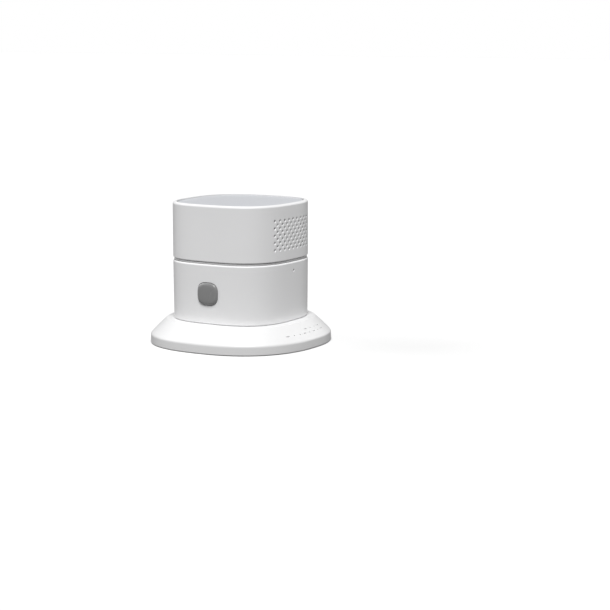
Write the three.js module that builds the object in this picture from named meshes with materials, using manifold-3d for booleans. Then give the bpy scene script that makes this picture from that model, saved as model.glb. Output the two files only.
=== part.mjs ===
// Compact smart smoke alarm: a rounded-square head that twists into a flared mounting base.
// Millimetres, +Z up, front (test button) towards -Y, siren grille towards +X,
// origin at the middle of the underside.
import * as THREE from 'three';
import { mergeVertices } from 'three/addons/utils/BufferGeometryUtils.js';
import Module from 'manifold-3d';

const wasm = await Module();
wasm.setup();

// Driving dimensions.
const HEIGHT = 49.4;
const BODY_HALF = 21.3; // half the body's width across its flats
const BODY_SQUARE = 2.9; // exponent of the rounded-square outline, 2 is a circle
const BASE_HALF = 30;
const BASE_SQUARE = 2.4;
const WALL = 1.6;
const GAP = 0.3; // between pieces that touch
const ROUND = 2;
const SEGMENTS = 40;
const TINY = 0.001;

// Mounting base: a flat foot, a sloped flange, a shoulder and a round well with a bayonet.
const RIM_TOP = 2.7;
const RIM_EDGE = 1.3; // radius that turns the upright rim into the slope
const SHOULDER_HALF = 24.7;
const SHOULDER_Z = 8.65;
const FLOOR_TOP = 2.4;
const WELL_RADIUS = 19.5;
const TRACK_RADIUS = 20.9;
const TRACK_TOP = 5.5;
const PAD = { halfX: 9, halfY: 14, corner: 3, thick: 0.9 };
const WALL_HOLE = { x: 14, radius: 2.1, headRadius: 3.6 };

// Bayonet: three lugs on the head's neck, three entry slots in the base's ledge.
const LUGS = 3;
const LUG_HALF_ANGLE = THREE.MathUtils.degToRad(7);
const SLOT_HALF_ANGLE = THREE.MathUtils.degToRad(9);
const TWIST = THREE.MathUtils.degToRad(18);
const LUG_START = THREE.MathUtils.degToRad(30);

// Head, lower half.
const NECK_RADIUS = 19;
const NECK_INNER = 17.5;
const NECK_BOTTOM = 3.8;
const LUG_RADIUS = 20.5;
const LUG_TOP = 5.2;
const SHELL_BOTTOM = SHOULDER_Z + GAP;
const LOWER_DRAFT = 0.15; // the lower shell narrows by this much towards its foot
const INNER_HALF = BODY_HALF - WALL;
const SHELL_FLOOR_TOP = SHELL_BOTTOM + 1.55;
const LOWER_TOP = 29.2;
const UPPER_BOTTOM = 30;
const LIP_HALF = 20.6; // inside of the thinned lips that take the vent collar
const LEDGE_LOW = 27.7;
const LEDGE_HIGH = 31.5;
const LOWER_EDGE = 0.6;
const UPPER_EDGE = 0.35;

// Head, upper half.
const RIM_ROUND = 1;
const CAP_OPENING = 19.95;
const CAP_SEAT = 47.5;
const CAP_RECESS = 0.45; // the cap lies this far below the rim
const CAP_SKIRT = 18.2;

// Posts and screws.
const POST_AT = 13.2;
const POST_RADIUS_LOW = 2.3;
const POST_RADIUS_HIGH = 2;
const SCREW_HOLE = 1.25;
const POST_SPLIT_LOW = 27.6;
const POST_SPLIT_HIGH = 30.1;
const POST_TOP = 44;
const BOARD_SCREW_X = 8.5;
const BOARD_SCREW_Y = 17;

// Test button, its switch and the status light.
const BUTTON = { x: 0.2, z: 19.05, half: 3.9, square: 3.2, proud: 0.8, flange: 4.9 };
const PIN_HOLE = { y: 0.5, z: 26.2, radius: 0.4 };
const SWITCH = { halfX: 3, front: -15.6, back: -12, bottom: 16.6 };
const PLUNGER_RADIUS = 1.2;

// Siren grille: a chequerboard of round holes in the +X wall.
const GRILLE = { columns: 17, rows: 9, across: 1.3, down: 1.235, y: 0.15, z: 39, radius: 0.4 };

// Inside.
const BOARD = { half: 18.9, bottom: 22.4, top: 24 };
const CHAMBER_RADIUS = 14;
const CHAMBER_TOP = 33.4;
const VANES = 14;
const SIREN = { radius: 15, base: 35, split: 35.7, top: 45.2, wall: 1.2 };
const CELL = { radius: 7.8, length: 27, x: -1, y: 1.5, bottom: 4.9 };
const CRADLE = { halfX: 17.4, y0: -7.4, y1: 10.4, z0: 10.9, z1: 21.7, wall: 0.9 };

// ---- Solids ---------------------------------------------------------------

// Joins shared corners and drops the triangles that collapse on the axis.
function weld(geometry) {
  const bare = geometry.clone();
  bare.deleteAttribute('normal');
  bare.deleteAttribute('uv');
  const merged = mergeVertices(bare, TINY);
  const corners = merged.index.array;
  const kept = [];
  for (let i = 0; i < corners.length; i += 3) {
    const [a, b, c] = corners.slice(i, i + 3);
    if (a !== b && b !== c && c !== a) kept.push(a, b, c);
  }
  merged.setIndex(kept);
  return merged;
}

function toSolid(geometry) {
  const merged = weld(geometry);
  return new wasm.Manifold(new wasm.Mesh({
    numProp: 3,
    vertProperties: new Float32Array(merged.attributes.position.array),
    triVerts: new Uint32Array(merged.index.array),
  }));
}

function toGeometry(solid) {
  const mesh = solid.getMesh();
  const geometry = new THREE.BufferGeometry();
  geometry.setAttribute('position', new THREE.BufferAttribute(mesh.vertProperties, 3));
  geometry.setIndex(new THREE.BufferAttribute(mesh.triVerts, 1));
  return geometry;
}

function cut(base, tools) {
  return toGeometry(tools.reduce((solid, tool) => solid.subtract(toSolid(tool)), toSolid(base)));
}

function join(base, parts) {
  return toGeometry(parts.reduce((solid, part) => solid.add(toSolid(part)), toSolid(base)));
}

// ---- Plain forms ----------------------------------------------------------

function box(x0, x1, y0, y1, z0, z1) {
  const form = new THREE.BoxGeometry(x1 - x0, y1 - y0, z1 - z0);
  return form.translate((x0 + x1) / 2, (y0 + y1) / 2, (z0 + z1) / 2);
}

function rodZ(radius, z0, z1, x = 0, y = 0, sides = 12) {
  const form = new THREE.CylinderGeometry(radius, radius, z1 - z0, sides);
  return form.rotateX(Math.PI / 2).translate(x, y, (z0 + z1) / 2);
}

function rodX(radius, x0, x1, y, z, sides = 12) {
  const form = new THREE.CylinderGeometry(radius, radius, x1 - x0, sides);
  return form.rotateZ(Math.PI / 2).translate((x0 + x1) / 2, y, z);
}

function rodY(radius, y0, y1, x, z, sides = 12) {
  const form = new THREE.CylinderGeometry(radius, radius, y1 - y0, sides);
  return form.translate(x, (y0 + y1) / 2, z);
}

// A solid turned about Z. Each profile point is [half width, height, squareness]:
// the outline is a circle at squareness 2 and a rounded square above it.
function turned(profile, segments = SEGMENTS) {
  const points = profile.map(([half, z]) => new THREE.Vector2(half, z));
  const form = new THREE.LatheGeometry(points, segments).rotateX(Math.PI / 2);
  const place = form.attributes.position;
  for (let i = 0; i < place.count; i += 1) {
    const square = profile[i % profile.length][2] ?? ROUND;
    const angle = Math.atan2(place.getY(i), place.getX(i));
    const reach = Math.abs(Math.cos(angle)) ** square + Math.abs(Math.sin(angle)) ** square;
    const stretch = reach ** (-1 / square);
    place.setXY(i, place.getX(i) * stretch, place.getY(i) * stretch);
  }
  return form;
}

// The same, for a profile that goes once around and closes on itself.
function turnedRing(profile, segments = SEGMENTS) {
  return turned([...profile, profile[0]], segments);
}

// Quarter-round profile points about a centre, from one angle to another in degrees.
function roundEdge(half, z, radius, from, to, square, steps = 3) {
  const points = [];
  for (let i = 0; i <= steps; i += 1) {
    const angle = THREE.MathUtils.degToRad(from + ((to - from) * i) / steps);
    points.push([half + radius * Math.cos(angle), z + radius * Math.sin(angle), square]);
  }
  return points;
}

// A slab with round-cornered rectangular outline.
function roundedSlab(halfX, halfY, corner, z0, z1) {
  const outline = new THREE.Shape();
  outline.absarc(halfX - corner, halfY - corner, corner, 0, Math.PI / 2);
  outline.absarc(corner - halfX, halfY - corner, corner, Math.PI / 2, Math.PI);
  outline.absarc(corner - halfX, corner - halfY, corner, Math.PI, Math.PI * 1.5);
  outline.absarc(halfX - corner, corner - halfY, corner, Math.PI * 1.5, Math.PI * 2);
  const options = { depth: z1 - z0, bevelEnabled: false, curveSegments: 4 };
  return new THREE.ExtrudeGeometry(outline, options).translate(0, 0, z0);
}

// Part of a ring between two radii, about a middle angle.
function ringSector(inner, outer, middle, halfAngle, z0, z1) {
  const outline = new THREE.Shape();
  outline.absarc(0, 0, outer, middle - halfAngle, middle + halfAngle, false);
  outline.absarc(0, 0, inner, middle + halfAngle, middle - halfAngle, true);
  const options = { depth: z1 - z0, bevelEnabled: false, curveSegments: 4 };
  return new THREE.ExtrudeGeometry(outline, options).translate(0, 0, z0);
}

// Round wire along a path.
function wire(path, radius, steps, sides = 6) {
  const section = new THREE.Shape();
  section.absarc(0, 0, radius, 0, Math.PI * 2);
  const options = { steps, extrudePath: path, bevelEnabled: false, curveSegments: sides / 2 };
  return new THREE.ExtrudeGeometry(section, options);
}

const corners = [[1, 1], [-1, 1], [-1, -1], [1, -1]];
const atCorners = (make) => corners.map(([sx, sy]) => make(sx * POST_AT, sy * POST_AT));

function piece(name, form, color, roughness, metalness = 0) {
  const material = new THREE.MeshStandardMaterial({ color, roughness, metalness });
  const mesh = new THREE.Mesh(weld(form), material);
  mesh.name = name;
  return mesh;
}

const plastic = (name, form) => piece(name, form, '#d9dade', 0.5);
const steel = (name, form) => piece(name, form, '#a9abad', 0.35, 0.9);

// ---- Mounting base --------------------------------------------------------

function mountingBase() {
  const form = turned([
    [0, 0],
    [BASE_HALF - 0.4, 0, BASE_SQUARE],
    [BASE_HALF, 0.4, BASE_SQUARE],
    ...roundEdge(BASE_HALF - RIM_EDGE, RIM_TOP, RIM_EDGE, 0, 45, BASE_SQUARE),
    [SHOULDER_HALF + 0.2, SHOULDER_Z - 0.2, BASE_SQUARE],
    [SHOULDER_HALF - 0.1, SHOULDER_Z, BASE_SQUARE],
    [WELL_RADIUS, SHOULDER_Z],
    [WELL_RADIUS, TRACK_TOP],
    [TRACK_RADIUS, TRACK_TOP],
    [TRACK_RADIUS, FLOOR_TOP],
    [0, FLOOR_TOP],
  ]);
  const cuts = [
    roundedSlab(PAD.halfX + GAP, PAD.halfY + GAP, PAD.corner, -1, PAD.thick + GAP),
  ];
  for (const side of [-1, 1]) {
    cuts.push(rodZ(WALL_HOLE.radius, -1, FLOOR_TOP + 1, side * WALL_HOLE.x, 0));
    cuts.push(rodZ(WALL_HOLE.headRadius, FLOOR_TOP - 0.8, FLOOR_TOP + 1, side * WALL_HOLE.x, 0));
  }
  for (let i = 0; i < LUGS; i += 1) {
    const middle = LUG_START + TWIST + (i * Math.PI * 2) / LUGS;
    const z1 = SHOULDER_Z + 1;
    cuts.push(ringSector(WELL_RADIUS - 1, TRACK_RADIUS, middle, SLOT_HALF_ANGLE, TRACK_TOP - 1, z1));
  }
  return plastic('mounting_base', cut(form, cuts));
}

function adhesivePad() {
  const form = roundedSlab(PAD.halfX, PAD.halfY, PAD.corner, 0, PAD.thick);
  return piece('adhesive_pad', form, '#2f3133', 0.9);
}

// ---- Casing ---------------------------------------------------------------

function lowerShell() {
  const foot = BODY_HALF - LOWER_DRAFT;
  const form = turnedRing([
    [NECK_INNER, NECK_BOTTOM],
    [NECK_RADIUS - 0.3, NECK_BOTTOM],
    [NECK_RADIUS, NECK_BOTTOM + 0.3],
    [NECK_RADIUS, SHELL_BOTTOM],
    [foot - 0.35, SHELL_BOTTOM, BODY_SQUARE],
    [foot, SHELL_BOTTOM + 0.35, BODY_SQUARE],
    ...roundEdge(BODY_HALF - LOWER_EDGE, LOWER_TOP - LOWER_EDGE, LOWER_EDGE, 0, 90, BODY_SQUARE),
    [LIP_HALF, LOWER_TOP, BODY_SQUARE],
    [LIP_HALF, LEDGE_LOW, BODY_SQUARE],
    [INNER_HALF, LEDGE_LOW, BODY_SQUARE],
    [INNER_HALF - LOWER_DRAFT, SHELL_FLOOR_TOP, BODY_SQUARE],
    [NECK_INNER, SHELL_FLOOR_TOP],
  ]);
  const posts = atCorners((x, y) => rodZ(POST_RADIUS_LOW, SHELL_BOTTOM + 0.5, POST_SPLIT_LOW, x, y));
  const postTop = BOARD.bottom - GAP;
  const bosses = [-1, 1].map((side) => {
    const x = -side * BOARD_SCREW_X;
    const y = side * BOARD_SCREW_Y;
    const stem = rodZ(2, postTop - 8, postTop, x, y);
    const web = box(x - 0.8, x + 0.8, Math.min(y, side * 19.9), Math.max(y, side * 19.9), postTop - 8, postTop);
    return join(stem, [web]);
  });
  const lugs = [];
  for (let i = 0; i < LUGS; i += 1) {
    const middle = LUG_START + (i * Math.PI * 2) / LUGS;
    lugs.push(ringSector(NECK_INNER + 0.5, LUG_RADIUS, middle, LUG_HALF_ANGLE, NECK_BOTTOM, LUG_TOP));
  }
  const buttonHole = turned([
    [0, -3],
    [BUTTON.half + GAP, -3, BUTTON.square],
    [BUTTON.half + GAP, 3, BUTTON.square],
    [0, 3],
  ], 24).rotateX(Math.PI / 2).translate(BUTTON.x, -BODY_HALF, BUTTON.z);
  const cuts = [
    buttonHole,
    rodX(PIN_HOLE.radius, INNER_HALF - 1, BODY_HALF + 1, PIN_HOLE.y, PIN_HOLE.z, 8),
    ...atCorners((x, y) => rodZ(SCREW_HOLE, 18, POST_SPLIT_LOW + 1, x, y, 8)),
    ...[-1, 1].map((side) => rodZ(1, postTop - 6, postTop + 1, -side * BOARD_SCREW_X, side * BOARD_SCREW_Y, 8)),
  ];
  return plastic('lower_shell', cut(join(form, [...posts, ...bosses, ...lugs]), cuts));
}

function batteryDoor() {
  const plugRadius = NECK_INNER - GAP;
  const form = turned([
    [0, FLOOR_TOP + GAP],
    [NECK_RADIUS - 0.8, FLOOR_TOP + GAP],
    [NECK_RADIUS - 0.5, FLOOR_TOP + GAP + 0.3],
    [NECK_RADIUS - 0.5, NECK_BOTTOM - GAP],
    [plugRadius, NECK_BOTTOM - GAP],
    [plugRadius, CELL.bottom - GAP],
    [0, CELL.bottom - GAP],
  ]);
  const coinSlot = box(-6, 6, -1, 1, FLOOR_TOP, FLOOR_TOP + GAP + 0.6);
  return plastic('battery_door', cut(form, [coinSlot]));
}

function upperShell() {
  const form = turnedRing([
    [LIP_HALF, UPPER_BOTTOM, BODY_SQUARE],
    ...roundEdge(BODY_HALF - UPPER_EDGE, UPPER_BOTTOM + UPPER_EDGE, UPPER_EDGE, -90, 0, BODY_SQUARE),
    ...roundEdge(BODY_HALF - RIM_ROUND, HEIGHT - RIM_ROUND, RIM_ROUND, 0, 90, BODY_SQUARE),
    [CAP_OPENING, HEIGHT, BODY_SQUARE],
    [CAP_OPENING, CAP_SEAT, BODY_SQUARE],
    [CAP_SKIRT + GAP, CAP_SEAT, BODY_SQUARE],
    [CAP_SKIRT + GAP, CAP_SEAT - 0.9, BODY_SQUARE],
    [INNER_HALF, CAP_SEAT - 2, BODY_SQUARE],
    [INNER_HALF, LEDGE_HIGH, BODY_SQUARE],
    [LIP_HALF, LEDGE_HIGH, BODY_SQUARE],
  ]);
  const posts = atCorners((x, y) => rodZ(POST_RADIUS_HIGH, POST_SPLIT_HIGH, POST_TOP, x, y));
  const ribLength = 4.5;
  const ribs = corners.map(([sx, sy]) => {
    const rib = box(0, ribLength, -0.7, 0.7, LEDGE_HIGH + 0.8, POST_TOP);
    return rib.rotateZ(Math.atan2(sy, sx)).translate(sx * POST_AT, sy * POST_AT, 0);
  });
  const cuts = atCorners((x, y) => rodZ(SCREW_HOLE, POST_SPLIT_HIGH - 1, POST_TOP + 1, x, y, 8));
  for (let column = 0; column < GRILLE.columns; column += 1) {
    for (let row = column % 2; row < GRILLE.rows; row += 2) {
      const y = GRILLE.y + (column - (GRILLE.columns - 1) / 2) * GRILLE.across;
      const z = GRILLE.z + (row - (GRILLE.rows - 1) / 2) * GRILLE.down;
      cuts.push(rodX(GRILLE.radius, INNER_HALF - 2, BODY_HALF + 1, y, z, 6));
    }
  }
  return plastic('upper_shell', cut(join(form, [...posts, ...ribs]), cuts));
}

function topCap() {
  const edge = CAP_OPENING - GAP;
  const under = CAP_SEAT + GAP;
  const face = HEIGHT - CAP_RECESS;
  return plastic('top_cap', turned([
    [0, under - 0.6],
    [CAP_SKIRT - 1, under - 0.6, BODY_SQUARE],
    [CAP_SKIRT - 1, CAP_SEAT - 1.3, BODY_SQUARE],
    [CAP_SKIRT, CAP_SEAT - 1.3, BODY_SQUARE],
    [CAP_SKIRT, under, BODY_SQUARE],
    [edge, under, BODY_SQUARE],
    [edge, face - 0.2, BODY_SQUARE],
    [edge - 0.2, face, BODY_SQUARE],
    [0, face],
  ]));
}

function ventCollar() {
  const outer = LIP_HALF - GAP;
  const inner = outer - 1.4;
  const airOuter = outer - 0.5; // set back where air passes up behind the upper lip
  const airBottom = UPPER_BOTTOM + 0.1;
  const form = turnedRing([
    [inner, LEDGE_LOW + GAP, BODY_SQUARE],
    [outer, LEDGE_LOW + GAP, BODY_SQUARE],
    [outer, airBottom - 0.2, BODY_SQUARE],
    [airOuter, airBottom, BODY_SQUARE],
    [airOuter, LEDGE_HIGH - GAP, BODY_SQUARE],
    [inner, LEDGE_HIGH - GAP, BODY_SQUARE],
  ]);
  const lugTop = POST_SPLIT_HIGH - GAP;
  const lugs = atCorners((x, y) => rodZ(2.7, LEDGE_LOW + GAP, lugTop, x, y));
  const cuts = atCorners((x, y) => rodZ(SCREW_HOLE, LEDGE_LOW, lugTop + 1, x, y, 8));
  const slotPitch = 8.6;
  const slotHalf = 3.4;
  for (let side = 0; side < 4; side += 1) {
    for (let i = -1; i <= 1; i += 1) {
      const middle = i * slotPitch;
      const slot = box(inner - 2, outer + 1, middle - slotHalf, middle + slotHalf, airBottom + 0.1, LEDGE_HIGH);
      cuts.push(slot.rotateZ((side * Math.PI) / 2));
    }
  }
  return piece('vent_collar', cut(join(form, lugs), cuts), '#d3d4d7', 0.55);
}

// ---- Smoke chamber --------------------------------------------------------

function chamberParts() {
  const floor = BOARD.top + GAP;
  const floorTop = floor + 1.2;
  const roof = CHAMBER_TOP - 1;
  const base = rodZ(CHAMBER_RADIUS, floor, floorTop, 0, 0, 32);
  const vanes = [];
  for (let i = 0; i < VANES; i += 1) {
    const vane = box(-0.4, 0.4, -1.8, 1.8, floorTop - 0.5, roof - GAP);
    vane.rotateZ(0.9).translate(CHAMBER_RADIUS - 2.2, 0, 0).rotateZ((i * Math.PI * 2) / VANES);
    vanes.push(vane);
  }
  const eyes = [infraredLed(floor), photodiode(floor)];
  const leadHoles = [];
  for (const x of [-6.6, 6.6]) {
    for (const y of [-1.27, 1.27]) leadHoles.push(rodZ(0.7, floor - 1, floorTop + 1, x, y, 8));
  }
  const mesh = turnedRing([
    [CHAMBER_RADIUS + 0.4, floorTop + 0.4],
    [CHAMBER_RADIUS + 0.8, floorTop + 0.4],
    [CHAMBER_RADIUS + 0.8, roof],
    [CHAMBER_RADIUS + 0.4, roof],
  ], 36);
  return [
    piece('chamber_base', cut(join(base, vanes), leadHoles), '#17181a', 0.75),
    piece('chamber_cover', rodZ(CHAMBER_RADIUS + 0.8, roof + GAP, CHAMBER_TOP, 0, 0, 32), '#17181a', 0.75),
    piece('insect_screen', mesh, '#4b4e50', 0.5, 0.8),
    ...eyes,
  ];
}

// A 3 mm lamp lying down, on two leads that reach the board.
function opticalEye(name, x, direction, floor, color) {
  const z = floor + 3.9;
  const body = rodX(1.5, x - 1.9, x + 1.9, 0, z, 16);
  const lens = new THREE.SphereGeometry(1.35, 12, 8).translate(x - direction * 2, 0, z);
  const leads = [-1.27, 1.27].map((y) => box(x - 0.25, x + 0.25, y - 0.25, y + 0.25, floor, z));
  return piece(name, join(body, [lens, ...leads]), color, 0.15);
}

const infraredLed = (floor) => opticalEye('infrared_led', -6.6, -1, floor, '#3a3f55');
const photodiode = (floor) => opticalEye('photodiode', 6.6, 1, floor, '#202226');

// ---- Board and what sits on it --------------------------------------------

function mainBoard() {
  const form = turned([
    [0, BOARD.bottom],
    [BOARD.half, BOARD.bottom, BODY_SQUARE],
    [BOARD.half, BOARD.top, BODY_SQUARE],
    [0, BOARD.top],
  ]);
  const holes = atCorners((x, y) => rodZ(POST_RADIUS_LOW + 0.4, BOARD.bottom - 1, BOARD.top + 1, x, y));
  for (const side of [-1, 1]) {
    const x = -side * BOARD_SCREW_X;
    holes.push(rodZ(1.3, BOARD.bottom - 1, BOARD.top + 1, x, side * BOARD_SCREW_Y, 10));
  }
  const notchHalf = BUTTON.flange + 0.7;
  const notch = box(BUTTON.x - notchHalf, BUTTON.x + notchHalf, -BODY_HALF, SWITCH.front - 1.6, 0, HEIGHT);
  return piece('main_board', cut(form, [...holes, notch]), '#1f5a3c', 0.45);
}

function chip(name, x0, x1, y0, y1, height, color, roughness = 0.5) {
  const z1 = BOARD.bottom - GAP;
  return piece(name, box(x0, x1, y0, y1, z1 - height, z1), color, roughness);
}

function boardParts() {
  const lampTop = BOARD.top + 1;
  const pipe = join(
    box(15.9, INNER_HALF - GAP, PIN_HOLE.y - 0.6, PIN_HOLE.y + 0.6, PIN_HOLE.z - 0.6, PIN_HOLE.z + 0.6),
    [box(15.9, 17.7, PIN_HOLE.y - 0.6, PIN_HOLE.y + 0.6, lampTop + GAP, PIN_HOLE.z)],
  );
  const lamp = box(16, 17.6, PIN_HOLE.y - 0.8, PIN_HOLE.y + 0.8, BOARD.top + GAP, lampTop);
  const can = rodZ(2.5, BOARD.bottom - GAP - 6, BOARD.bottom - GAP, -7.6, -10.8, 20);
  const antenna = join(box(-17.6, -17.1, -9, 9, 24.3, 26.4), [box(-17.6, -15.6, 7.8, 9, 24.3, 24.8)]);
  return [
    chip('radio_module', -5.6, 7.4, 11.6, 17.6, 2.4, '#b5b7b9', 0.35),
    chip('microcontroller', -4.5, -0.5, -11.7, -7.7, 0.9, '#1b1c1e'),
    chip('boost_inductor', 5.2, 10.2, -13, -8.2, 2.8, '#3c3d3f', 0.7),
    piece('bulk_capacitor', can, '#2a3350', 0.4),
    piece('antenna_strip', antenna, '#c9b27a', 0.3, 0.9),
    piece('status_led', lamp, '#e8e6da', 0.3),
    piece('light_pipe', pipe, '#dfe6ea', 0.1),
  ];
}

// A pan-head screw with a slot, its head up.
function screw(name, x, y, seat, length, shank, head) {
  const body = join(rodZ(shank, seat - length, seat + 0.2, x, y, 10), [rodZ(head, seat, seat + 1.4, x, y, 14)]);
  return steel(name, cut(body, [box(x - head, x + head, y - 0.3, y + 0.3, seat + 0.8, seat + 2)]));
}

function screws() {
  const boardScrews = [-1, 1].map((side, i) => (
    screw(`board_screw_${i + 1}`, -side * BOARD_SCREW_X, side * BOARD_SCREW_Y, BOARD.top + GAP, 6, 0.7, 1.7)
  ));
  const caseScrews = corners.map(([sx, sy], i) => (
    screw(`case_screw_${i + 1}`, sx * POST_AT, sy * POST_AT, POST_TOP + GAP, 24, 0.95, 1.9)
  ));
  return [...boardScrews, ...caseScrews];
}

// ---- Siren ----------------------------------------------------------------

function sirenParts() {
  const { radius, base, split, top, wall } = SIREN;
  const discZ = 37.6;
  const seatRing = turnedRing([
    [12, base],
    [13.2, base],
    [13.2, discZ - GAP],
    [12, discZ - GAP],
  ], 32);
  const floor = join(rodZ(radius, base, base + 1, 0, 0, 32), [seatRing]);
  const leadHoles = [-1.5, 1.5].map((y) => rodZ(0.8, base - 1, base + 2, -8, y, 8));
  const duct = box(6, 16.9, -10.9, 10.9, split + 0.7, top);
  const housing = join(rodZ(radius, base + 1 + GAP, top, 0, 0, 32), [duct]);
  const hollow = [
    rodZ(radius - wall, base, top - wall, 0, 0, 32),
    box(4, 18, -9.9, 9.9, discZ + 0.9, top - wall),
  ];
  const frame = cut(
    box(17.2, INNER_HALF - 1.5, -10.5, 10.5, split + 1.4, top - 0.3),
    [box(16, 20, -9.5, 9.5, discZ - 0.5, top - wall - 0.5)],
  );
  return [
    piece('siren_base', cut(floor, leadHoles), '#232427', 0.6),
    piece('siren_housing', cut(housing, hollow), '#232427', 0.6),
    piece('piezo_plate', rodZ(12.6, discZ, discZ + 0.4, 0, 0, 32), '#c9a45a', 0.3, 0.9),
    piece('piezo_ceramic', rodZ(9, discZ - 0.6, discZ - GAP, 0, 0, 28), '#d8d4c8', 0.45),
    piece('siren_gasket', frame, '#2c2d2f', 0.95),
    ...[-1, 1].map((side, i) => sirenLead(`siren_lead_${i + 1}`, side * 1.5, discZ)),
  ];
}

// A lead from the board, up behind the chamber and through the siren's floor.
function sirenLead(name, y, discZ) {
  const level = (CHAMBER_TOP + SIREN.base) / 2;
  const outX = -16.4;
  const inX = -8;
  const bend = 1.2;
  const path = new THREE.CurvePath();
  const at = (x, z) => new THREE.Vector3(x, y, z);
  path.add(new THREE.LineCurve3(at(outX, BOARD.top + GAP), at(outX, level - bend)));
  path.add(new THREE.QuadraticBezierCurve3(at(outX, level - bend), at(outX, level), at(outX + bend, level)));
  path.add(new THREE.LineCurve3(at(outX + bend, level), at(inX - bend, level)));
  path.add(new THREE.QuadraticBezierCurve3(at(inX - bend, level), at(inX, level), at(inX, level + bend)));
  path.add(new THREE.LineCurve3(at(inX, level + bend), at(inX, discZ - 0.9)));
  return piece(name, wire(path, 0.4, 16), y > 0 ? '#9b2a26' : '#26282b', 0.5);
}

// ---- Battery --------------------------------------------------------------

function batteryParts() {
  const { radius, length, x, y, bottom } = CELL;
  const z = bottom + radius;
  const x0 = x - length / 2;
  const x1 = x + length / 2;
  const { halfX, y0, y1, z0, z1, wall } = CRADLE;
  const tabHalf = 1.6;
  const plateOut = 0.5;
  const positiveX = x0 - GAP - plateOut;
  const springLength = 2.2;
  const negativeX = x1 + GAP + springLength + GAP;
  const slots = [positiveX, negativeX].map((at) => (
    box(at - GAP, at + plateOut + GAP, y - tabHalf - GAP, y + tabHalf + GAP, z0, z1 + 1)
  ));
  const cradle = cut(box(-halfX, halfX, y0, y1, z0, z1), [
    box(-halfX + wall, halfX - wall, y0 + wall, y1 - wall, z0 - 1, z1 - wall),
    ...slots,
  ]);
  const contact = (at) => join(box(at, at + plateOut, y - 4.5, y + 4.5, z - 4.5, z + 4.5), [
    box(at, at + plateOut, y - tabHalf, y + tabHalf, z, BOARD.bottom - GAP),
  ]);
  return [
    piece('battery_cell', rodX(radius, x0, x1, y, z, 28), '#3e4a63', 0.35),
    piece('battery_cradle', cradle, '#2a2b2e', 0.6),
    piece('positive_contact', contact(positiveX), '#c3c5c6', 0.3, 0.9),
    piece('negative_contact', contact(negativeX), '#c3c5c6', 0.3, 0.9),
    steel('contact_spring', contactSpring(x1 + GAP, springLength, y, z)),
  ];
}

// A conical coil with its axis along X, its wide end on the plate.
function contactSpring(x0, length, y, z) {
  const wireRadius = 0.25;
  const turns = 2.5;
  const coil = new THREE.Curve();
  coil.getPoint = (t, target = new THREE.Vector3()) => {
    const angle = t * turns * Math.PI * 2;
    const reach = 1.8 + 2.4 * t;
    const along = x0 + wireRadius + t * (length - 2 * wireRadius);
    return target.set(along, y + reach * Math.cos(angle), z + reach * Math.sin(angle));
  };
  return wire(coil, wireRadius, 24);
}

// ---- Test button ----------------------------------------------------------

function testSwitch() {
  const { halfX, front, back, bottom } = SWITCH;
  const form = box(BUTTON.x - halfX, BUTTON.x + halfX, front, back, bottom, BOARD.bottom - GAP);
  const bore = rodY(PLUNGER_RADIUS + GAP, front - 1, front + 2.2, BUTTON.x, BUTTON.z, 16);
  return piece('tact_switch', cut(form, [bore]), '#1c1d1f', 0.45);
}

function buttonParts() {
  const face = BODY_HALF - LOWER_DRAFT / 2;
  const out = (y) => -y - face; // distance out of the wall's face for a place on Y
  const flangeFront = out(-(INNER_HALF - LOWER_DRAFT - GAP));
  const flangeBack = flangeFront - 0.9;
  const stemEnd = out(SWITCH.front - 0.7);
  const cap = turned([
    [0, stemEnd],
    [1.5, stemEnd],
    [1.5, flangeBack],
    [BUTTON.flange, flangeBack, BUTTON.square],
    [BUTTON.flange, flangeFront, BUTTON.square],
    [BUTTON.half, flangeFront, BUTTON.square],
    [BUTTON.half, BUTTON.proud - 0.8, BUTTON.square],
    [BUTTON.half - 0.3, BUTTON.proud - 0.25, BUTTON.square],
    [BUTTON.half - 0.85, BUTTON.proud, BUTTON.square],
    [0, BUTTON.proud],
  ], 24).rotateX(Math.PI / 2).translate(BUTTON.x, -face, BUTTON.z);
  const plunger = rodY(PLUNGER_RADIUS, SWITCH.front - 0.4, SWITCH.front + 1.4, BUTTON.x, BUTTON.z, 16);
  return [
    piece('button_cap', cap, '#8b8d90', 0.45),
    piece('switch_plunger', plunger, '#e6e6e2', 0.4),
  ];
}

// ---- Assembly -------------------------------------------------------------

const alarm = new THREE.Group();
const base = new THREE.Group().add(mountingBase(), adhesivePad());
const head = new THREE.Group().add(
  lowerShell(),
  batteryDoor(),
  upperShell(),
  topCap(),
  ventCollar(),
  ...chamberParts(),
  mainBoard(),
  ...boardParts(),
  ...screws(),
  ...sirenParts(),
  ...batteryParts(),
  testSwitch(),
);
const button = new THREE.Group().add(...buttonParts());
head.add(button);
alarm.add(base, head);

export default alarm;
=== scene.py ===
"""A compact smart smoke alarm: a rounded-square head twisted into a flared mounting base."""

import math

import bmesh
import bpy
from mathutils import Matrix, Vector


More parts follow.
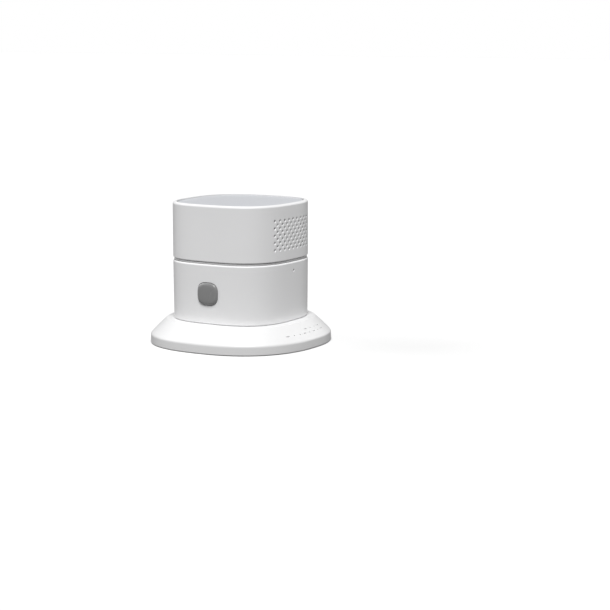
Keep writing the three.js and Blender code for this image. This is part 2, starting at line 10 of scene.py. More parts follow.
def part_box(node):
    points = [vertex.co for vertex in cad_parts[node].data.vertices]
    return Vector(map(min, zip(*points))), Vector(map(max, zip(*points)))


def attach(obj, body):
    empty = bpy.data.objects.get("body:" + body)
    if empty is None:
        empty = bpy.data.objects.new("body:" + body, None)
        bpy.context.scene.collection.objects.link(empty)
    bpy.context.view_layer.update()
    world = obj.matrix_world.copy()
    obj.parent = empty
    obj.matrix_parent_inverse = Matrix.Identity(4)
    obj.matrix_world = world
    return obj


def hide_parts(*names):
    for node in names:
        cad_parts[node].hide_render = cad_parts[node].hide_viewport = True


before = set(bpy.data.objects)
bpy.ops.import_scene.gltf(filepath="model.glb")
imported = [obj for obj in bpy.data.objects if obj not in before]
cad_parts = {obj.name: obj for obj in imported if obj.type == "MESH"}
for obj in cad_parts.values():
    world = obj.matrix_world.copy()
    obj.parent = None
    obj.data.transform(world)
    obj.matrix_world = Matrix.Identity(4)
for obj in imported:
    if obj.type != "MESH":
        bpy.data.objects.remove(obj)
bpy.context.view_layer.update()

# ---------------------------------------------------------------------------
# Camera. It stands a little above the alarm, towards the corner between the
# button's face and the grille's face, with the alarm left of the middle.
# ---------------------------------------------------------------------------

camera_azimuth = math.radians(33.04)
camera_elevation = math.radians(8.03)
camera_distance = 0.6256
aim_height = 0.02423
heading = math.radians(30.97)
downward_tilt = math.radians(9.11)

camera_data = bpy.data.cameras.new("camera")
camera_data.lens = 105.5
camera_data.sensor_width = 36.0
camera_data.clip_start = 0.01
camera_data.clip_end = 50.0
camera = bpy.data.objects.new("camera", camera_data)
bpy.context.scene.collection.objects.link(camera)
camera.location = (
    camera_distance * math.sin(camera_azimuth) * math.cos(camera_elevation),
    -camera_distance * math.cos(camera_azimuth) * math.cos(camera_elevation),
    aim_height + camera_distance * math.sin(camera_elevation),
)
camera.rotation_euler = (math.pi / 2 - downward_tilt, 0.0, heading)
bpy.context.scene.camera = camera

# ---------------------------------------------------------------------------
# Mounting base. White moulded plastic: a flat foot with a vertical rim, a
# sloped flange with two rows of shallow dashes, a narrow shoulder round the
# head, and a round well with a bayonet track inside.
# ---------------------------------------------------------------------------

MM = 0.001
BODY_SQUARE = 2.9
BASE_SQUARE = 2.4
RINGS = 192


def deselect():
    if bpy.context.object and bpy.context.object.mode != "OBJECT":
        bpy.ops.object.mode_set(mode="OBJECT")
    bpy.ops.object.select_all(action="DESELECT")


def pick(piece):
    deselect()
    bpy.context.view_layer.objects.active = piece
    piece.select_set(True)


def set_ring(piece, half, height, square):
    """Puts the selected ring on a rounded-square outline of this half width."""
    mesh = bmesh.from_edit_mesh(piece.data)
    for vertex in mesh.verts:
        if vertex.select:
            angle = math.atan2(vertex.co.y, vertex.co.x)
            reach = abs(math.cos(angle)) ** square + abs(math.sin(angle)) ** square
            radius = half * reach ** (-1 / square)
            vertex.co = (radius * math.cos(angle), radius * math.sin(angle), height)
    bmesh.update_edit_mesh(piece.data)


def grow_rings(name, profile, segments=RINGS):
    """Extrudes a circle ring by ring along (half width, height, squareness) points, all in mm.

    A point of half width 0 closes that end. Without one, the last ring meets the first.
    """
    deselect()
    bpy.ops.mesh.primitive_circle_add(vertices=segments, radius=1.0, fill_type="NOTHING")
    piece = bpy.context.object
    piece.name = piece.data.name = name
    bpy.ops.object.mode_set(mode="EDIT")
    bpy.ops.mesh.select_all(action="SELECT")
    closed_at_axis = profile[0][0] == 0
    rings = profile[1:-1] if closed_at_axis else [*profile, profile[0]]
    for i, (half, height, *square) in enumerate(rings):
        if i:
            bpy.ops.mesh.extrude_region_move()
        set_ring(piece, half * MM, height * MM, square[0] if square else 2)
    if closed_at_axis:
        cap_end(piece, profile[-1][1] * MM)
        bpy.ops.mesh.select_all(action="DESELECT")
        bpy.ops.mesh.select_mode(type="EDGE")
        bpy.ops.mesh.select_non_manifold()
        bpy.ops.mesh.select_mode(type="VERT")
        cap_end(piece, profile[0][1] * MM)
    bpy.ops.mesh.select_all(action="SELECT")
    bpy.ops.mesh.remove_doubles(threshold=1e-6)
    bpy.ops.mesh.normals_make_consistent(inside=False)
    bpy.ops.object.mode_set(mode="OBJECT")
    return piece


def cap_end(piece, height):
    """Closes the selected ring with a fan to a point on the axis."""
    bpy.ops.mesh.extrude_region_move()
    bpy.ops.mesh.merge(type="CENTER")
    mesh = bmesh.from_edit_mesh(piece.data)
    for vertex in mesh.verts:
        if vertex.select:
            vertex.co = (0.0, 0.0, height)
    bmesh.update_edit_mesh(piece.data)


def arc(half, height, radius, start, end, square=2, steps=6):
    """Profile points on a quarter round, from one angle to another in degrees."""
    points = []
    for i in range(steps + 1):
        angle = math.radians(start + (end - start) * i / steps)
        points.append((half + radius * math.cos(angle), height + radius * math.sin(angle), square))
    return points


def block(name, low, high):
    """A box between two corners in mm, its size and place in its mesh."""
    deselect()
    bpy.ops.mesh.primitive_cube_add(size=1.0)
    piece = bpy.context.object
    piece.name = piece.data.name = name
    piece.location = [(a + b) / 2 * MM for a, b in zip(low, high)]
    piece.scale = [(b - a) * MM for a, b in zip(low, high)]
    bpy.ops.object.transform_apply(location=True, rotation=True, scale=True)
    return piece


def turn(piece, angle, axis):
    """Turns a piece about a row axis through the origin, in its mesh."""
    pick(piece)
    bpy.ops.transform.rotate(value=-angle, orient_axis=axis, center_override=(0, 0, 0))
    bpy.ops.object.transform_apply(location=True, rotation=True, scale=True)
    return piece


def shift(piece, x=0.0, y=0.0, z=0.0):
    """Moves a piece by mm, in its mesh."""
    pick(piece)
    bpy.ops.transform.translate(value=(x * MM, y * MM, z * MM))
    bpy.ops.object.transform_apply(location=True, rotation=True, scale=True)
    return piece


def join(pieces):
    deselect()
    for piece in pieces:
        piece.select_set(True)
    bpy.context.view_layer.objects.active = pieces[0]
    bpy.ops.object.join()
    return pieces[0]


def boolean(piece, tools, operation):
    """Cuts or adds each tool in turn and deletes it."""
    for tool in tools:
        pick(piece)
        step = piece.modifiers.new("step", "BOOLEAN")
        step.operation = operation
        step.solver = "EXACT"
        step.object = tool
        bpy.ops.object.modifier_apply(modifier=step.name)
        bpy.data.objects.remove(tool)
    return piece


def smooth(piece, angle=32):
    """Smooth shading whose flats stay flat up to their rounded edges."""
    pick(piece)
    bpy.ops.object.shade_smooth_by_angle(angle=math.radians(angle))
    weigh = piece.modifiers.new("weigh", "WEIGHTED_NORMAL")
    weigh.keep_sharp = True
    bpy.ops.object.modifier_apply(modifier=weigh.name)
    return piece


rim_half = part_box("mounting_base")[1].x / MM
shoulder_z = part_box("mounting_base")[1].z / MM
rim_top = 2.7
rim_edge = 1.3
rim_turn = 46  # degrees from the upright rim to the slope
well = 19.5
track = 20.9
track_top = 5.5
floor_top = 2.4
slope_foot = (
    rim_half - rim_edge * (1 - math.cos(math.radians(rim_turn))),
    rim_top + rim_edge * math.sin(math.radians(rim_turn)),
)
shoulder_half = 24.7
slope_head = (shoulder_half + 0.2, shoulder_z - 0.2)

flange = grow_rings("base_flange", [
    (0, 0),
    (8, 0, 2),
    (20, 0, 2.2),
    (rim_half - 1.2, 0, BASE_SQUARE),
    *arc(rim_half - 0.35, 0.35, 0.35, -90, 0, BASE_SQUARE, 4),
    *arc(rim_half - rim_edge, rim_top, rim_edge, 0, rim_turn, BASE_SQUARE, 10),
    ((slope_head[0] + slope_foot[0]) / 2, (slope_foot[1] + slope_head[1]) / 2 + 0.04, BASE_SQUARE),
    slope_head + (BASE_SQUARE,),
    (shoulder_half + 0.02, shoulder_z - 0.06, BASE_SQUARE),
    (shoulder_half - 0.25, shoulder_z, BASE_SQUARE),
    (well + 0.15, shoulder_z),
    (well, shoulder_z - 0.15),
    (well, track_top),
    (track, track_top),
    (track, floor_top),
    (10, floor_top),
    (0, floor_top),
])


def rounded_block(name, low, high, corner, steps=8):
    """A block whose upright edges are rounded."""
    piece = block(name, low, high)
    pick(piece)
    bpy.ops.object.mode_set(mode="EDIT")
    bpy.ops.mesh.select_mode(type="EDGE")
    mesh = bmesh.from_edit_mesh(piece.data)
    for edge in mesh.edges:
        a, b = edge.verts
        edge.select_set(abs(a.co.z - b.co.z) > abs(a.co.x - b.co.x) + abs(a.co.y - b.co.y))
    bmesh.update_edit_mesh(piece.data)
    bpy.ops.mesh.bevel(offset=corner * MM, segments=steps, affect="EDGES")
    bpy.ops.mesh.select_mode(type="VERT")
    bpy.ops.object.mode_set(mode="OBJECT")
    return piece


def outline_point(half, square, angle):
    """The place in mm on a rounded-square outline at this angle."""
    reach = abs(math.cos(angle)) ** square + abs(math.sin(angle)) ** square
    radius = half * reach ** (-1 / square)
    return Vector((radius * math.cos(angle), radius * math.sin(angle), 0))


def dash_cutter(angle, down, length):
    """A cutter for a shallow dash that lies along the slope, at a share of the way down it."""
    half = slope_head[0] + (slope_foot[0] - slope_head[0]) * down
    height = slope_head[1] + (slope_foot[1] - slope_head[1]) * down
    spot = outline_point(half, BASE_SQUARE, angle)
    ahead = outline_point(half, BASE_SQUARE, angle + 0.01) - spot
    ahead.normalize()
    outwards = Vector((ahead.y, -ahead.x, 0))
    fall = outwards * (slope_foot[0] - slope_head[0]) + Vector((0, 0, slope_foot[1] - slope_head[1]))
    fall.normalize()
    normal = ahead.cross(fall)
    deselect()
    bpy.ops.mesh.primitive_uv_sphere_add(segments=12, ring_count=8, radius=1.0)
    cutter = bpy.context.object
    along = ahead * length / 2 * MM
    across = fall * dash_half_width * MM
    inwards = normal * dash_depth * MM
    centre = Vector((spot.x, spot.y, height)) * MM
    cutter.matrix_world = Matrix((along, across, inwards)).transposed().to_4x4()
    cutter.location = centre
    bpy.ops.object.transform_apply(location=True, rotation=True, scale=True)
    return cutter


def screw_passage(x):
    """A countersunk hole right through the base's floor."""
    passage = grow_rings("screw_passage", [
        (0, -1),
        (shank_radius + 0.3, -1),
        (shank_radius, 0.25),
        (shank_radius, floor_top - 1.1),
        (sink_radius, floor_top + 0.7),
        (0, floor_top + 0.7),
    ], 32)
    turn(passage, math.radians(4), "Z")
    return shift(passage, x=x)


pad_low, pad_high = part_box("adhesive_pad")
pad_gap = 0.3
pad_corner = 3
recess = rounded_block(
    "pad_recess",
    (pad_low.x / MM - pad_gap, pad_low.y / MM - pad_gap, -1),
    (pad_high.x / MM + pad_gap, pad_high.y / MM + pad_gap, pad_high.z / MM + pad_gap),
    pad_corner,
)
entry_half = 3.1
entry_at = 48  # degrees round to the first of the three entry slots
entries = []
for i in range(3):
    entry_low = (well - 1, -entry_half, track_top - 1)
    entry_high = (track - 0.05, entry_half, shoulder_z + 1)
    entry = rounded_block("entry", entry_low, entry_high, 0.5, 4)
    entries.append(turn(entry, math.radians(entry_at + 120 * i), "Z"))
wall_screw_at = 14
shank_radius = 2.1
sink_radius = 3.9
passages = [screw_passage(-wall_screw_at), screw_passage(wall_screw_at)]
boolean(flange, [recess, *passages, *entries], "DIFFERENCE")

dash_half_width = 0.22
dash_depth = 0.4
dash_lengths = (1.7, 0.7, 0.6, 1.6, 0.7, 1.3, 0.8, 1.5, 0.6)
dashes = []
dash_rows = ((0.66, -24, 30, 10), (0.42, -2, 30, 6))  # share down the slope, from and to in degrees, count
for down, first, last, count in dash_rows:
    for i in range(count):
        at = math.radians(first + (last - first) * i / (count - 1))
        dashes.append(dash_cutter(at, down, dash_lengths[i % len(dash_lengths)]))
boolean(flange, [join(dashes)], "DIFFERENCE")
smooth(flange)


def moulded_grain_group():
    """Even spark-eroded grain, with slow drifts of tone and of sheen."""
    group = bpy.data.node_groups.new("moulded_grain", "ShaderNodeTree")
    face = group.interface
    face.new_socket("Place", in_out="INPUT", socket_type="NodeSocketVector")
    face.new_socket("Grain Scale", in_out="INPUT", socket_type="NodeSocketFloat")
    face.new_socket("Height", in_out="OUTPUT", socket_type="NodeSocketFloat")
    face.new_socket("Drift", in_out="OUTPUT", socket_type="NodeSocketFloat")
    nodes, links = group.nodes, group.links
    start = nodes.new("NodeGroupInput")
    end = nodes.new("NodeGroupOutput")
    grain = nodes.new("ShaderNodeTexNoise")
    grain.inputs["Detail"].default_value = 3.0
    grain.inputs["Roughness"].default_value = 0.6
    drift = nodes.new("ShaderNodeTexNoise")
    drift.inputs["Scale"].default_value = 55.0
    drift.inputs["Detail"].default_value = 2.0
    links.new(start.outputs["Place"], grain.inputs["Vector"])
    links.new(start.outputs["Grain Scale"], grain.inputs["Scale"])
    links.new(start.outputs["Place"], drift.inputs["Vector"])
    links.new(grain.outputs["Fac"], end.inputs["Height"])
    links.new(drift.outputs["Fac"], end.inputs["Drift"])
    return group


moulded_grain = moulded_grain_group()


def moulded_plastic(name, dark, light, gloss, grain_scale=5200.0, grain_depth=0.00001, strength=0.35):
    """Moulded plastic whose tone drifts between two colours and roughness between two values."""
    material = bpy.data.materials.new(name)
    material.use_nodes = True
    nodes, links = material.node_tree.nodes, material.node_tree.links
    shader = nodes["Principled BSDF"]
    place = nodes.new("ShaderNodeTexCoord")
    grain = nodes.new("ShaderNodeGroup")
    grain.node_tree = moulded_grain
    grain.inputs["Grain Scale"].default_value = grain_scale
    links.new(place.outputs["Object"], grain.inputs["Place"])
    tone = nodes.new("ShaderNodeMix")
    tone.data_type = "RGBA"
    tone.inputs["A"].default_value = (*dark, 1)
    tone.inputs["B"].default_value = (*light, 1)
    links.new(grain.outputs["Drift"], tone.inputs["Factor"])
    links.new(tone.outputs["Result"], shader.inputs["Base Color"])
    sheen = nodes.new("ShaderNodeMapRange")
    sheen.inputs["To Min"].default_value = gloss[0]
    sheen.inputs["To Max"].default_value = gloss[1]
    links.new(grain.outputs["Drift"], sheen.inputs["Value"])
    links.new(sheen.outputs["Result"], shader.inputs["Roughness"])
    bump = nodes.new("ShaderNodeBump")
    bump.inputs["Strength"].default_value = strength
    bump.inputs["Distance"].default_value = grain_depth
    links.new(grain.outputs["Height"], bump.inputs["Height"])
    links.new(bump.outputs["Normal"], shader.inputs["Normal"])
    return material


def give(piece, material):
    piece.data.materials.clear()
    piece.data.materials.append(material)


def fit(piece, body, node, material):
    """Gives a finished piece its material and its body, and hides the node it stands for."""
    give(piece, material)
    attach(piece, body)
    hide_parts(node)


base_white = moulded_plastic("base_white", (0.70, 0.70, 0.702), (0.73, 0.73, 0.732), (0.36, 0.46))
fit(flange, "base", "mounting_base", base_white)

# ---------------------------------------------------------------------------
# Adhesive pad. Dark closed-cell foam tape with soft cut edges, pressed into
# the recess of the base's underside.
# ---------------------------------------------------------------------------

pad = rounded_block("foam_pad", [c / MM for c in pad_low], [c / MM for c in pad_high], pad_corner)
pick(pad)
soften = pad.modifiers.new("soften", "BEVEL")
soften.width = 0.15 * MM
soften.segments = 3
soften.limit_method = "ANGLE"
soften.angle_limit = math.radians(60)
bpy.ops.object.modifier_apply(modifier=soften.name)
smooth(pad)
foam_black = moulded_plastic(
    "foam_black", (0.018, 0.019, 0.02), (0.04, 0.042, 0.045), (0.8, 0.95), 2600.0, 0.00008, 0.8
)
fit(pad, "base", "adhesive_pad", foam_black)

# ---------------------------------------------------------------------------
# Lower casing. White ABS, moulded in one with the round neck, the bayonet
# lugs and the screw posts. It has the button's opening and a light pin-hole.
# ---------------------------------------------------------------------------

shell_low, shell_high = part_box("lower_shell")
body_half = shell_high.x / MM
neck_bottom = shell_low.z / MM
lower_top = shell_high.z / MM
wall = 1.6
neck = 19.0
neck_inner = 17.5
shell_bottom = shoulder_z + 0.12
draft = 0.15
foot_half = body_half - draft
lower_edge = 0.6
lip = 20.6
ledge_low = 27.7
shell_floor = shell_bottom + 1.55
post_at = 13.2

lower = grow_rings("lower_casing", [
    (neck_inner, neck_bottom),
    (neck - 0.3, neck_bottom),
    *arc(neck - 0.3, neck_bottom + 0.3, 0.3, -60, 0, 2, 3),
    (neck, shell_bottom),
    *arc(foot_half - 0.3, shell_bottom + 0.3, 0.3, -90, 0, BODY_SQUARE, 5),
    *arc(body_half - lower_edge, lower_top - lower_edge, lower_edge, 0, 90, BODY_SQUARE, 8),
    (lip, lower_top - 0.05, BODY_SQUARE),
    (lip, ledge_low, BODY_SQUARE),
    (body_half - wall, ledge_low, BODY_SQUARE),
    (foot_half - wall, shell_floor, BODY_SQUARE),
    (neck_inner, shell_floor),
])


def post(x, y, radius, low, high):
    """An upright screw post, its rim softened."""
    column = grow_rings("post", [
        (0, low), (radius, low), (radius, high - 0.2), (radius - 0.2, high), (0, high),
    ], 32)
    return shift(column, x=x, y=y)


def drill(x, y, radius, low, high):
    """A drill for a screw hole, a little wider near its top."""
    hole = grow_rings("drill", [
        (0, low),
        (radius, low),
        (radius, high - 1.2),
        (radius + 0.3, high - 0.9),
        (radius + 0.3, high),
        (0, high),
    ], 24)
    return shift(hole, x=x, y=y)


corners = [(1, 1), (-1, 1), (-1, -1), (1, -1)]
screw_hole = 1.25
post_split_low = 27.6
boss_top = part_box("main_board")[0].z / MM - 0.3
boss_x = 8.5
boss_y = 17
boss_tall = 8
web_half = 0.8
additions = [post(x * post_at, y * post_at, 2.3, shell_bottom + 0.5, post_split_low) for x, y in corners]
for side in (-1, 1):
    x, y = -side * boss_x, side * boss_y
    additions.append(post(x, y, 2.0, boss_top - boss_tall, boss_top))
    near, far = sorted((y, side * (foot_half - 1.25)))
    web_low = (x - web_half, near, boss_top - boss_tall + 0.3)
    additions.append(block("web", web_low, (x + web_half, far, boss_top - 0.3)))
lug_half = 2.4
lug_at = 30  # degrees round to the first of the three lugs
for i in range(3):
    lug_low = (neck_inner + 0.6, -lug_half, neck_bottom + 0.02)
    lug = rounded_block("lug", lug_low, (track - 0.5, lug_half, track_top - 0.3), 0.5, 4)
    additions.append(turn(lug, math.radians(lug_at + 120 * i), "Z"))
boolean(lower, additions, "UNION")

button_low, button_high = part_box("button_cap")
button_x = (button_low.x + button_high.x) / 2 / MM
button_z = (button_low.z + button_high.z) / 2 / MM
button_half = 4.03
button_square = 2.9
button_play = 0.1
face_y = body_half - draft / 2
opening = grow_rings("button_opening", [
    (0, -3),
    (button_half + button_play, -3, button_square),
    (button_half + button_play, -0.1, button_square),
    (button_half + button_play + 0.16, 0.06, button_square),
    (button_half + button_play + 0.16, 2, button_square),
    (0, 2),
], 64)


def squat(piece):
    """Makes the button's outline, or its opening, a little less tall than it is wide."""
    pick(piece)
    bpy.ops.transform.resize(value=(1, 0.955, 1), center_override=(0, 0, 0))
    bpy.ops.object.transform_apply(location=True, rotation=True, scale=True)


squat(opening)
turn(opening, math.radians(90), "X")
shift(opening, x=button_x, y=-face_y, z=button_z)

pin_y = 0.5
pin_z = 26.2
pin_hole = grow_rings("pin_hole", [
    (0, -3), (0.4, -3), (0.4, -0.1), (0.52, 0.02), (0.52, 1), (0, 1),
], 24)
turn(pin_hole, math.radians(90), "Y")
shift(pin_hole, x=body_half - 0.04, y=pin_y, z=pin_z)
holes = [drill(x * post_at, y * post_at, screw_hole, 18, post_split_low + 1) for x, y in corners]
boolean(lower, [opening, pin_hole, *holes], "DIFFERENCE")
smooth(lower)
casing_white = moulded_plastic("casing_white", (0.758, 0.758, 0.763), (0.788, 0.788, 0.793), (0.40, 0.50))
fit(lower, "head", "lower_shell", casing_white)

# ---------------------------------------------------------------------------
# Upper casing. White ABS with a rounded top rim, a chequerboard of siren
# holes in the right-hand face and four posts for the case screws.
# ---------------------------------------------------------------------------

upper_bottom = 30.0
upper_edge = 0.35
rim_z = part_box("upper_shell")[1].z / MM
rim_round = 0.85
cap_opening = 20.1
cap_seat = 47.5
cap_skirt = 18.2
ledge_high = 31.5
post_top = 44

upper = grow_rings("upper_casing", [
    (lip, upper_bottom + 0.12, BODY_SQUARE),
    *arc(lip + 0.12, upper_bottom + 0.12, 0.12, 180, 270, BODY_SQUARE, 3),
    *arc(body_half - upper_edge, upper_bottom + upper_edge, upper_edge, -90, 0, BODY_SQUARE, 7),
    *arc(body_half - rim_round, rim_z - rim_round, rim_round, 0, 90, BODY_SQUARE, 10),
    *arc(cap_opening + 0.12, rim_z - 0.12, 0.12, 90, 180, BODY_SQUARE, 3),
    (cap_opening, cap_seat, BODY_SQUARE),
    (cap_skirt + 0.3, cap_seat, BODY_SQUARE),
    (cap_skirt + 0.3, cap_seat - 0.9, BODY_SQUARE),
    (body_half - wall, cap_seat - 2, BODY_SQUARE),
    (body_half - wall, ledge_high, BODY_SQUARE),
    (lip, ledge_high, BODY_SQUARE),
])
ring_low, ring_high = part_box("vent_collar")
ring_bottom = ring_low.z / MM
ring_top = ring_high.z / MM
additions = []
for x, y in corners:
    additions.append(post(x * post_at, y * post_at, 2.0, ring_bottom + 2.1, post_top))
    rib = block("rib", (0.5, -0.7, ledge_high + 0.8), (4.5, 0.7, post_top - 0.3))
    turn(rib, math.atan2(y, x), "Z")
    additions.append(shift(rib, x=x * post_at, y=y * post_at))
boolean(upper, additions, "UNION")

grille_columns = 17
grille_rows = 9
grille_across = 1.3
grille_down = 1.235
grille_y = 0.15
grille_z = 39.0
hole_radius = 0.42
first_hole = grow_rings("siren_hole", [
    (0, -3),
    (hole_radius, -3),
    (hole_radius, -0.18),
    (hole_radius + 0.17, 0.02),
    (hole_radius + 0.17, 0.6),
    (0, 0.6),
], 20)
turn(first_hole, math.radians(90), "Y")
siren_holes = []
for column in range(grille_columns):
    for row in range(column % 2, grille_rows, 2):
        across = grille_y + (column - (grille_columns - 1) / 2) * grille_across
        height = grille_z + (row - (grille_rows - 1) / 2) * grille_down
        hole = first_hole.copy()
        hole.data = first_hole.data.copy()
        bpy.context.scene.collection.objects.link(hole)
        siren_holes.append(hole)
        reach = 1 - abs(across / body_half) ** BODY_SQUARE
        hole.location = (body_half * reach ** (1 / BODY_SQUARE) * MM, across * MM, height * MM)
bpy.data.objects.remove(first_hole)
deselect()
for hole in siren_holes:
    hole.select_set(True)
bpy.context.view_layer.objects.active = siren_holes[0]
bpy.ops.object.transform_apply(location=True, rotation=True, scale=True)
holes = [drill(x * post_at, y * post_at, screw_hole, 28, post_top + 1) for x, y in corners]
boolean(upper, [join(siren_holes), *holes], "DIFFERENCE")
smooth(upper)
fit(upper, "head", "upper_shell", casing_white)

# ---------------------------------------------------------------------------
# Top cap. A flat inset cover, a touch cooler, smoother and darker than the casing,
# set just below the rim and snapped in over the case screws. Its darker colour
# is painted shade for the weaker light on the top; its cool tint is its own.
# ---------------------------------------------------------------------------

cap_low, cap_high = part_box("top_cap")
cap_edge = cap_high.x / MM + 0.15
cap_top = cap_high.z / MM
cap_under = cap_seat + 0.3

cap = grow_rings("top_cover", [
    (0, cap_under - 0.6),
    (cap_skirt - 1, cap_under - 0.6, BODY_SQUARE),
    (cap_skirt - 1, cap_low.z / MM, BODY_SQUARE),
    (cap_skirt, cap_low.z / MM, BODY_SQUARE),
    (cap_skirt, cap_under, BODY_SQUARE),
    (cap_edge, cap_under, BODY_SQUARE),
    *arc(cap_edge - 0.15, cap_top - 0.15, 0.15, 0, 90, BODY_SQUARE, 4),
    (cap_edge * 0.9, cap_top, BODY_SQUARE),
    (cap_edge * 0.5, cap_top, BODY_SQUARE),
    (0, cap_top),
])
smooth(cap)
# The cover's colour is darker than the casing's: painted shade for the weaker light on the top. Its cool
# tint is its own.
cap_white_painted_shade = moulded_plastic("cap_white_painted_shade", (0.575, 0.586, 0.615), (0.595, 0.607, 0.637), (0.30, 0.38), 6500.0)
fit(cap, "head", "top_cap", cap_white_painted_shade)

# ---------------------------------------------------------------------------
# Vent ring. A recessed white ring, with a small bead that shows in the air
# groove between the two casings. It joins them at its four screw lugs, and
# air passes in through its notches.
# ---------------------------------------------------------------------------

ring_outer = lip - 0.1
ring_inner = ring_high.x / MM - 1.4
air_bottom = upper_bottom + 0.1
bead_half = 20.95
bead_gap = 0.15  # between the bead and the casing above or below it

vent_ring = grow_rings("vent_ring", [
    (ring_inner, ring_bottom, BODY_SQUARE),
    (ring_outer - 0.1, ring_bottom, BODY_SQUARE),
    (ring_outer, ring_bottom + 0.1, BODY_SQUARE),
    (ring_outer, lower_top + bead_gap, BODY_SQUARE),
    (bead_half - 0.1, lower_top + bead_gap, BODY_SQUARE),
    (bead_half, lower_top + bead_gap + 0.1, BODY_SQUARE),
    (bead_half, upper_bottom - bead_gap - 0.1, BODY_SQUARE),
    (bead_half - 0.1, upper_bottom - bead_gap, BODY_SQUARE),
    (ring_outer, upper_bottom - bead_gap, BODY_SQUARE),
    *arc(ring_outer - 0.3, air_bottom - 0.3, 0.3, 0, 90, BODY_SQUARE, 4),
    (ring_outer - 0.7, air_bottom, BODY_SQUARE),
    (ring_outer - 0.7, ring_top, BODY_SQUARE),
    (ring_inner, ring_top, BODY_SQUARE),
])
lug_top = ring_bottom + 1.8
lugs = [post(x * post_at, y * post_at, 2.7, ring_bottom + 0.01, lug_top) for x, y in corners]
boolean(vent_ring, lugs, "UNION")
slot_pitch = 8.6
slot_half = 3.4
slots = []
for side in range(4):
    for i in (-1, 0, 1):
        middle = i * slot_pitch
        slot_low = (ring_inner - 2, middle - slot_half, air_bottom + 0.1)
        slot = block("slot", slot_low, (ring_outer + 1, middle + slot_half, ring_top + 1))
        slots.append(turn(slot, side * math.pi / 2, "Z"))
boolean(vent_ring, [join(slots)], "DIFFERENCE")
holes = [drill(x * post_at, y * post_at, screw_hole, 26, lug_top + 1.1) for x, y in corners]
boolean(vent_ring, holes, "DIFFERENCE")
smooth(vent_ring)
ring_white = moulded_plastic("ring_white", (0.78, 0.78, 0.785), (0.81, 0.81, 0.815), (0.5, 0.6))
fit(vent_ring, "head", "vent_collar", ring_white)

# ---------------------------------------------------------------------------
# Test button. A raised, soft-edged squircle of smoky translucent plastic,
# with a retaining flange behind the wall and a stem to the switch.
# ---------------------------------------------------------------------------

proud = -button_low.y / MM - face_y
stem_end = -button_high.y / MM - face_y
flange_front = body_half - wall - draft - 0.3 - face_y
flange_half = 4.9
flange_thick = 0.9
bevel_wide = 1.35
bevel_deep = 0.75
crown = 0.08
bevel_steps = 12
bevel = []
for i in range(bevel_steps):
    angle = math.radians(90 * i / bevel_steps)
    across = button_half - bevel_wide * (1 - math.cos(angle))
    bevel.append((across, proud - crown - bevel_deep * (1 - math.sin(angle)), button_square))

button = grow_rings("button", [
    (0, stem_end),
    (1.5, stem_end),
    (1.5, flange_front - flange_thick),
    (flange_half, flange_front - flange_thick, button_square),
    (flange_half, flange_front, button_square),
    (button_half, flange_front, button_square),
    *bevel,
    (button_half * 0.5, proud - crown * 0.4, button_square),
    (button_half * 0.25, proud - crown * 0.1, button_square),
    (0, proud),
], 96)
squat(button)
turn(button, math.radians(90), "X")
shift(button, x=button_x, y=-face_y, z=button_z)
smooth(button)
smoke_grey = moulded_plastic("smoke_grey", (0.205, 0.205, 0.205), (0.228, 0.228, 0.228), (0.24, 0.3))
fit(button, "test_button", "button_cap", smoke_grey)

# ---------------------------------------------------------------------------
# Inside pieces that keep their plain shape. Each gets the finish of what it
# is made of: sleeve, solder mask, tinned steel, nickel, brass, ceramic.
# ---------------------------------------------------------------------------


def metal(name, dark, light, gloss, stretch):
    """Rolled or plated metal, its fine lines drawn out along one axis."""
    material = bpy.data.materials.new(name)
    material.use_nodes = True
    nodes, links = material.node_tree.nodes, material.node_tree.links
    shader = nodes["Principled BSDF"]
    shader.inputs["Metallic"].default_value = 1.0
    place = nodes.new("ShaderNodeTexCoord")
    drawn = nodes.new("ShaderNodeMapping")
    drawn.inputs["Scale"].default_value = stretch
    lines = nodes.new("ShaderNodeTexNoise")
    lines.inputs["Scale"].default_value = 900.0
    lines.inputs["Detail"].default_value = 4.0
    links.new(place.outputs["Object"], drawn.inputs["Vector"])
    links.new(drawn.outputs["Vector"], lines.inputs["Vector"])
    tone = nodes.new("ShaderNodeMix")
    tone.data_type = "RGBA"
    tone.inputs["A"].default_value = (*dark, 1)
    tone.inputs["B"].default_value = (*light, 1)
    links.new(lines.outputs["Fac"], tone.inputs["Factor"])
    links.new(tone.outputs["Result"], shader.inputs["Base Color"])
    sheen = nodes.new("ShaderNodeMapRange")
    sheen.inputs["To Min"].default_value = gloss[0]
    sheen.inputs["To Max"].default_value = gloss[1]
    links.new(lines.outputs["Fac"], sheen.inputs["Value"])
    links.new(sheen.outputs["Result"], shader.inputs["Roughness"])
    return material


chamber_black = moulded_plastic("chamber_black", (0.012, 0.012, 0.013), (0.02, 0.02, 0.022), (0.6, 0.75))
inner_black = moulded_plastic("inner_black", (0.022, 0.022, 0.024), (0.035, 0.035, 0.038), (0.45, 0.6))
solder_mask = moulded_plastic(
    "solder_mask", (0.01, 0.075, 0.04), (0.016, 0.11, 0.06), (0.25, 0.4), 1800.0, 0.00002
)
chip_epoxy = moulded_plastic("chip_epoxy", (0.02, 0.02, 0.021), (0.032, 0.032, 0.034), (0.4, 0.55), 7000.0)
sleeve_blue = moulded_plastic("sleeve_blue", (0.02, 0.035, 0.09), (0.03, 0.05, 0.12), (0.2, 0.3))
cell_sleeve = moulded_plastic("cell_sleeve", (0.05, 0.08, 0.14), (0.07, 0.1, 0.17), (0.2, 0.3))
fired_ceramic = moulded_plastic("fired_ceramic", (0.66, 0.63, 0.56), (0.74, 0.71, 0.64), (0.4, 0.55))
lead_red = moulded_plastic("lead_red", (0.35, 0.02, 0.015), (0.42, 0.03, 0.02), (0.3, 0.4))
clear_lens = moulded_plastic("clear_lens", (0.75, 0.76, 0.74), (0.82, 0.83, 0.81), (0.08, 0.14))
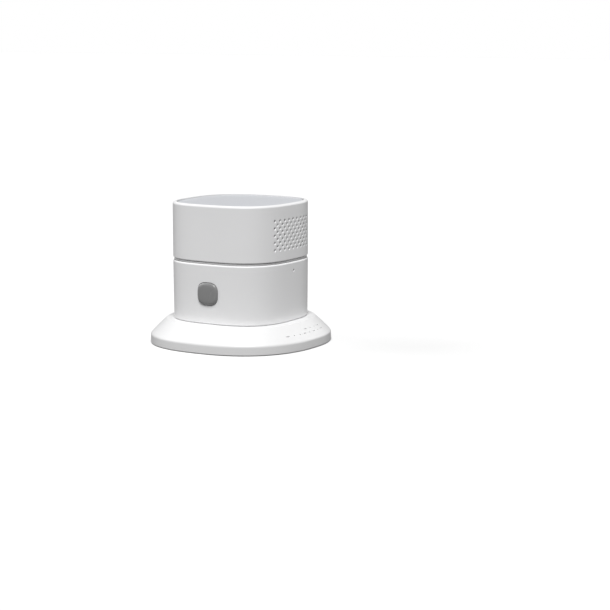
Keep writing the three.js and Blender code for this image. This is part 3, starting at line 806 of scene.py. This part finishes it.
dark_lens = moulded_plastic("dark_lens", (0.01, 0.012, 0.03), (0.016, 0.018, 0.045), (0.06, 0.12))
acetal = moulded_plastic("acetal", (0.72, 0.72, 0.69), (0.78, 0.78, 0.75), (0.35, 0.45))
tinned = metal("tinned", (0.5, 0.5, 0.49), (0.62, 0.62, 0.61), (0.3, 0.45), (1, 0.1, 1))
nickel = metal("nickel", (0.58, 0.56, 0.52), (0.68, 0.66, 0.62), (0.15, 0.28), (1, 1, 0.1))
zinc = metal("zinc", (0.45, 0.46, 0.47), (0.6, 0.61, 0.62), (0.22, 0.38), (1, 1, 0.15))
brass = metal("brass", (0.6, 0.42, 0.16), (0.74, 0.53, 0.22), (0.2, 0.35), (1, 0.1, 1))
steel_mesh = metal("steel_mesh", (0.22, 0.225, 0.23), (0.32, 0.325, 0.33), (0.35, 0.5), (1, 1, 1))

finishes = {
    "battery_door": casing_white,
    "battery_cell": cell_sleeve,
    "battery_cradle": inner_black,
    "positive_contact": nickel,
    "negative_contact": nickel,
    "contact_spring": nickel,
    "main_board": solder_mask,
    "radio_module": tinned,
    "microcontroller": chip_epoxy,
    "boost_inductor": chip_epoxy,
    "bulk_capacitor": sleeve_blue,
    "antenna_strip": brass,
    "status_led": clear_lens,
    "light_pipe": clear_lens,
    "tact_switch": inner_black,
    "switch_plunger": acetal,
    "chamber_base": chamber_black,
    "chamber_cover": chamber_black,
    "insect_screen": steel_mesh,
    "infrared_led": dark_lens,
    "photodiode": dark_lens,
    "siren_base": inner_black,
    "siren_housing": inner_black,
    "siren_gasket": foam_black,
    "piezo_plate": brass,
    "piezo_ceramic": fired_ceramic,
    "siren_lead_1": inner_black,
    "siren_lead_2": lead_red,
    **{f"board_screw_{i}": zinc for i in (1, 2)},
    **{f"case_screw_{i}": zinc for i in (1, 2, 3, 4)},
}
for node, finish in finishes.items():
    give(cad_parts[node], finish)

# ---------------------------------------------------------------------------
# Studio. A plain white floor and surround. One broad soft light stands high in
# front, with a weaker one low on the left and another low behind on the right.
# ---------------------------------------------------------------------------

deselect()
bpy.ops.mesh.primitive_plane_add(size=8.0, location=(0, 0, -0.0001))
floor = bpy.context.object
floor.name = "floor"
floor_paint = bpy.data.materials.new("floor_paint")
floor_paint.use_nodes = True
nodes, links = floor_paint.node_tree.nodes, floor_paint.node_tree.links
nodes["Principled BSDF"].inputs["Roughness"].default_value = 0.9
nodes["Principled BSDF"].inputs["Specular IOR Level"].default_value = 0.0
seen = nodes.new("ShaderNodeLightPath")
paint = nodes.new("ShaderNodeMix")
paint.data_type = "RGBA"
paint.inputs["A"].default_value = (0.2, 0.2, 0.2, 1)
paint.inputs["B"].default_value = (0.78, 0.78, 0.78, 1)
links.new(seen.outputs["Is Camera Ray"], paint.inputs["Factor"])
links.new(paint.outputs["Result"], nodes["Principled BSDF"].inputs["Base Color"])
give(floor, floor_paint)

world = bpy.data.worlds.new("surround")
bpy.context.scene.world = world
world.use_nodes = True
nodes, links = world.node_tree.nodes, world.node_tree.links
seen = nodes.new("ShaderNodeLightPath")
mirrored = nodes.new("ShaderNodeMapRange")
mirrored.inputs["To Min"].default_value = 0.07
mirrored.inputs["To Max"].default_value = 0.22
links.new(seen.outputs["Is Glossy Ray"], mirrored.inputs["Value"])
glow = nodes.new("ShaderNodeMix")
links.new(seen.outputs["Is Camera Ray"], glow.inputs["Factor"])
links.new(mirrored.outputs["Result"], glow.inputs["A"])
glow.inputs["B"].default_value = 1.0
nodes["Background"].inputs["Color"].default_value = (1, 1, 1, 1)
links.new(glow.outputs["Result"], nodes["Background"].inputs["Strength"])
bpy.context.scene.view_settings.view_transform = "Standard"


def soft_light(name, azimuth, elevation, spread, power):
    """A far soft light from this direction, in degrees, azimuth 0 in front of the button."""
    a, e = math.radians(azimuth), math.radians(elevation)
    back = Vector((math.sin(a) * math.cos(e), -math.cos(a) * math.cos(e), math.sin(e)))
    data = bpy.data.lights.new(name, "SUN")
    data.angle = math.radians(spread)
    data.energy = power
    light = bpy.data.objects.new(name, data)
    bpy.context.scene.collection.objects.link(light)
    light.rotation_euler = back.to_track_quat("Z", "Y").to_euler()


soft_light("key_light", 32, 58, 25, 3.85)
soft_light("left_light", -70, 27, 40, 1.1)
soft_light("back_light", 150, 20, 40, 0.8)
